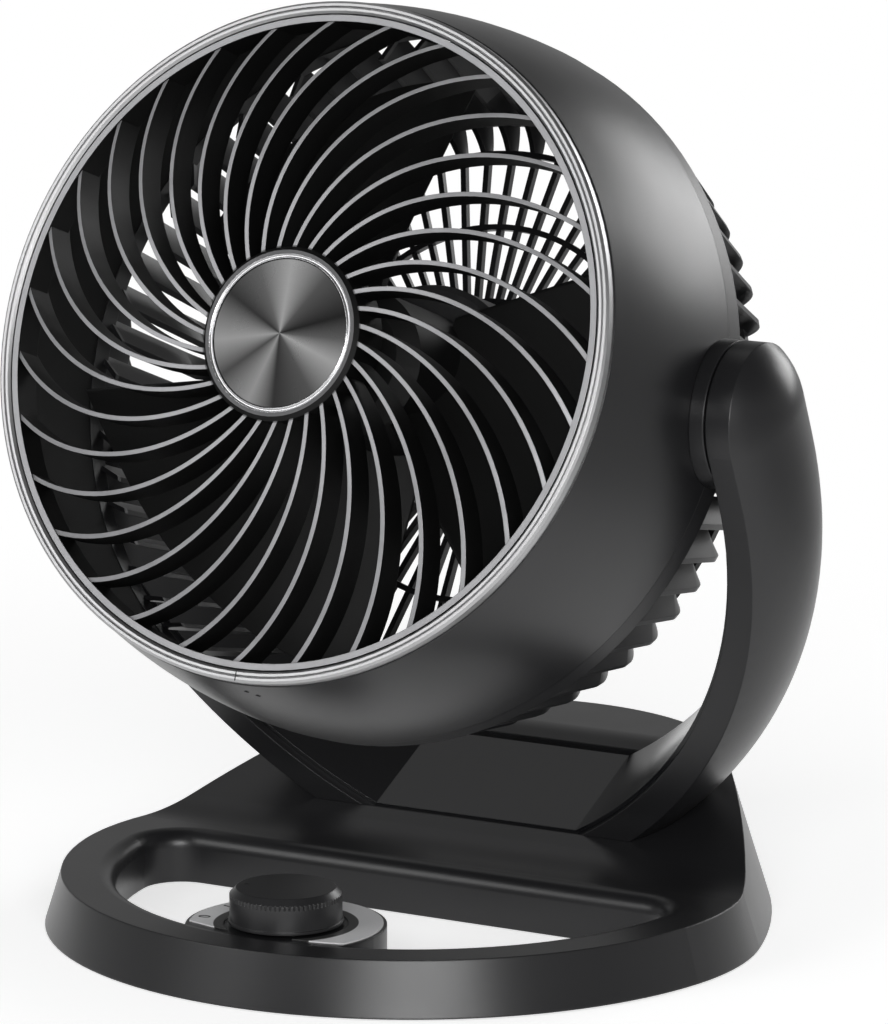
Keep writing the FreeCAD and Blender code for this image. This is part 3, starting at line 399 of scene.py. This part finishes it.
# %% Figures and pointer
OFF_ANGLE, SPEED_STEP, SPEEDS = 194, 30, 4
FIGURE_RADIUS, FIGURE_SIZE = 0.0285, 0.006
INK_DEPTH, INK_LIFT = 0.00004, 0.00005
POINTER_REACH, POINTER_RADIUS, POINTER_SQUASH = 0.0137, 0.0009, 0.25
ink = plain("dial_ink", (0.01, 0.01, 0.01), (0.02, 0.02, 0.02), 800.0, 0.5)
knob_low, knob_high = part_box("knob")
knob_middle = (knob_low + knob_high) / 2
dial_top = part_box("dial_plate")[1].z


def round_knob(angle, reach, height):
    """The place at this angle and distance from the knob's middle, at this height."""
    return Vector((knob_middle.x + reach * math.cos(angle), knob_middle.y + reach * math.sin(angle), height))


def laid_figure(figure, angle):
    text = bpy.data.curves.new("figure", "FONT")
    text.body, text.size, text.extrude = figure, FIGURE_SIZE, INK_DEPTH
    text.align_x, text.align_y = "CENTER", "CENTER"
    maker = placed("figure_maker", text)
    mesh = bpy.data.meshes.new_from_object(maker.evaluated_get(bpy.context.evaluated_depsgraph_get()))
    bpy.data.objects.remove(maker)
    mesh.materials.clear()
    mesh.materials.append(ink.material)
    piece = placed("dial_figure_" + figure, mesh)
    spot = Matrix.Translation(round_knob(angle, FIGURE_RADIUS, dial_top + INK_LIFT))
    piece.matrix_world = spot @ Matrix.Rotation(angle - math.pi / 2, 4, "Z")
    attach(piece, "base")


for speed in range(SPEEDS):
    laid_figure(str(speed), math.radians(OFF_ANGLE - SPEED_STEP * speed))

dot = bmesh.new()
bmesh.ops.create_uvsphere(dot, u_segments=24, v_segments=8, radius=POINTER_RADIUS)
bmesh.ops.scale(dot, vec=(1, 1, POINTER_SQUASH), verts=dot.verts)
pointer = shaped("knob_pointer", dot, ink)
pointer.location = round_knob(math.radians(OFF_ANGLE), POINTER_REACH, knob_high.z)
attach(pointer, "knob")
print(SPEEDS, "figures at height", round(dial_top, 4), "and a pointer on the knob")

# %% [markdown]
# Low on the head, the ring's two ends meet in a fine joint, and the drum has a catch behind it with two
# small slots. Each is a thin dark plate with softened corners, laid on the solid that carries it. The
# plates of the two slots are painted shade, standing for the shade inside the slots. The place is given
# from the pivot, as a distance out from the axis and one along it.

# %% Ring joint and catch
JOINT_SIZE, SLOT_SIZE = (0.0004, 0.0034, 0.00006), (0.0018, 0.0012, 0.0003)
RING_MIDDLE, RING_FRONT = 0.1131, 0.0734
CATCH_LEAN = math.radians(78)
CORNER_SHARE = 0.4
dark_joint_and_slot_shade = plain("dark_joint_and_slot_shade", (0.001, 0.001, 0.001), (0.004, 0.004, 0.004), 900.0, 0.85)


def small_plate(name, sideways, out, along, size, lean):
    """A thin plate of size (across, long, thick) on the head, leaning back by an angle about its width."""
    sketch = bmesh.new()
    bmesh.ops.create_cube(sketch, size=1.0)
    bmesh.ops.scale(sketch, vec=size, verts=sketch.verts)
    uprights = [e for e in sketch.edges if abs((e.verts[0].co - e.verts[1].co).z) > size[2] / 2]
    bmesh.ops.bevel(sketch, geom=uprights, offset=min(size[:2]) * CORNER_SHARE, segments=4, affect="EDGES")
    piece = shaped(name, sketch, dark_joint_and_slot_shade)
    spot = Matrix.Translation((sideways, -out, along))
    piece.matrix_world = head_place @ spot @ Matrix.Rotation(lean, 4, "X")
    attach(piece, "head")


small_plate("ring_joint", -0.0007, RING_MIDDLE, RING_FRONT, JOINT_SIZE, 0)
# The two slot plates are painted shade: dark sheets where the slots' hollows are.
small_plate("catch_slot_left", -0.0015, 0.1170, 0.0631, SLOT_SIZE, CATCH_LEAN)
small_plate("catch_slot_right", 0.0015, 0.1176, 0.0605, SLOT_SIZE, CATCH_LEAN)
print("ring joint and catch on the head")

# %% [markdown]
# The studio is a wide pale floor under a grey room, with a white sweep that runs from the camera past the
# fan and widens behind it. The floor catches the light, so it keeps the fan's shadow. The sweep shines a
# little by itself where the camera, a mirror or glass sees it, which brings it up to white without more
# light on the fan. Black plastic mirrors the grey room, and so stays black.

# %% Floor
FLOOR_RADIUS, FLOOR_DROP = 4.0, 0.0003
FLOOR_GREY, FLOOR_PALE = (0.7,) * 3, (0.82,) * 3
NEAR_GLOW, ROOM_GLOW, GLOW_RANGE = 0.6, 0.12, (0.25, 0.7)
VIEW_RIGHT = Vector((0.86934, 0.49421, 0))
SWEEP_ALONG = Vector((0, 0, 1)).cross(VIEW_RIGHT)
SWEEP_SPREAD, SWEEP_EDGES = 0.08, (0.5, 0.2)
paper = Finish("pale_floor", Roughness=0.9, Specular_IOR_Level=0.1)
seen = sum(paper.node("ShaderNodeLightPath", output=kind)
           for kind in ("Is Camera Ray", "Is Glossy Ray", "Is Transmission Ray"))
far = paper.ease(paper.vector("LENGTH", paper.place(), output="Value"), *GLOW_RANGE)
aside = paper.node("ShaderNodeMath", {"operation": "ABSOLUTE"},
                   {0: paper.vector("DOT_PRODUCT", paper.place(), tuple(VIEW_RIGHT), "Value")})
behind = paper.vector("DOT_PRODUCT", paper.place(), tuple(SWEEP_ALONG), "Value")
on_sweep = paper.ease(aside - behind * SWEEP_SPREAD, *SWEEP_EDGES)
paper.set(Base_Color=paper.shades(on_sweep * (0.97 + paper.noise(8.0) * 0.06), FLOOR_GREY, FLOOR_PALE))
unlit = Flow(paper, paper.shader.outputs[0])
near = paper.node("ShaderNodeEmission", None, {"Strength": NEAR_GLOW})
lit = paper.node("ShaderNodeAddShader", None, {0: unlit, 1: near})
white = paper.node("ShaderNodeMixShader", None, {0: far, 1: lit, 2: paper.node("ShaderNodeEmission")})
dim = paper.node("ShaderNodeEmission", None, {"Strength": ROOM_GLOW})
pale = paper.node("ShaderNodeAddShader", None, {0: unlit, 1: dim})
sweep = paper.node("ShaderNodeMixShader", None, {0: on_sweep, 1: pale, 2: white})
shown = paper.node("ShaderNodeMixShader", None, {0: seen, 1: unlit, 2: sweep})
paper.feed(paper.tree.nodes["Material Output"].inputs["Surface"], shown)

sheet = bmesh.new()
bmesh.ops.create_circle(sheet, cap_ends=True, segments=96, radius=FLOOR_RADIUS)
floor = shaped("studio_floor", sheet, paper)
floor.location.z = -FLOOR_DROP
print("a floor of", FLOOR_RADIUS, "metres radius")

# %% [markdown]
# The room round it is a plain gradient, paler at the horizon than overhead.

# %% Surround
HORIZON, OVERHEAD, ROOM_RANGE = (0.42,) * 3, (0.13,) * 3, (0.1, 0.6)
world = bpy.data.worlds.new("grey_surround")
world.use_nodes = True
room = Nodes(world.node_tree)
height = room.vector("DOT_PRODUCT", room.node("ShaderNodeTexCoord", output="Generated"), (0, 0, 1), "Value")
room_shade = room.shades(room.ease(height, *ROOM_RANGE), HORIZON, OVERHEAD)
room.feed(room.tree.nodes["Background"].inputs["Color"], room_shade)
bpy.context.scene.world = world
print("surround:", world.name)

# %% [markdown]
# Soft lamps shape black plastic by what it mirrors. The key lamp stands just above the camera and draws a
# pale patch on the wall of the base; one at the front left faces the grille, so that the vanes' edges and
# the metals shine; one at the right rear gives the drum its pale flank, and a weak one high at the left
# lays a sheen on the deck. The camera doesn't see the lamps themselves.

# %% Lamps
LAMP_AIM = Vector((0, 0, 0.2))


def soft_lamp(name, place, width, height, power):
    lamp = bpy.data.lights.new(name, "AREA")
    lamp.shape, lamp.size, lamp.size_y, lamp.energy = "RECTANGLE", width, height, power
    holder = placed(name, lamp)
    holder.location = place
    holder.rotation_mode = "QUATERNION"
    holder.rotation_quaternion = (LAMP_AIM - Vector(place)).to_track_quat("-Z", "Y")
    holder.visible_camera = False


soft_lamp("key", (0.95, -1.6, 0.62), 1.1, 0.6, 21)
soft_lamp("front_left", (-0.95, -1.5, 0.95), 0.8, 0.8, 7)
soft_lamp("right_rear", (0.58, 1.65, 0.7), 1.1, 0.6, 9.5)
soft_lamp("high_left", (-0.75, 0.6, 1.35), 0.7, 0.7, 0.6)

# %% [markdown]
# The camera stands a little above the fan, to its right, with a long lens, as a catalogue picture is
# taken: the long lens keeps the round head round.

# %% Camera
LENS_MM, SENSOR_MM = 210.94, 36.0
EYE = (1.00907, -1.76417, 0.55001)
VIEW_UP, VIEW_BACK = (-0.09717, 0.17093, 0.98048), (0.48456, -0.85237, 0.19662)
lens = bpy.data.cameras.new("catalogue_view")
lens.lens, lens.sensor_width = LENS_MM, SENSOR_MM
camera = placed("catalogue_view", lens)
view = Matrix((VIEW_RIGHT, VIEW_UP, VIEW_BACK)).transposed().to_4x4()
view.translation = EYE
camera.matrix_world = view
bpy.context.scene.camera = camera
bpy.context.scene.view_settings.view_transform = "Standard"
print("camera at", [round(v, 3) for v in camera.location])
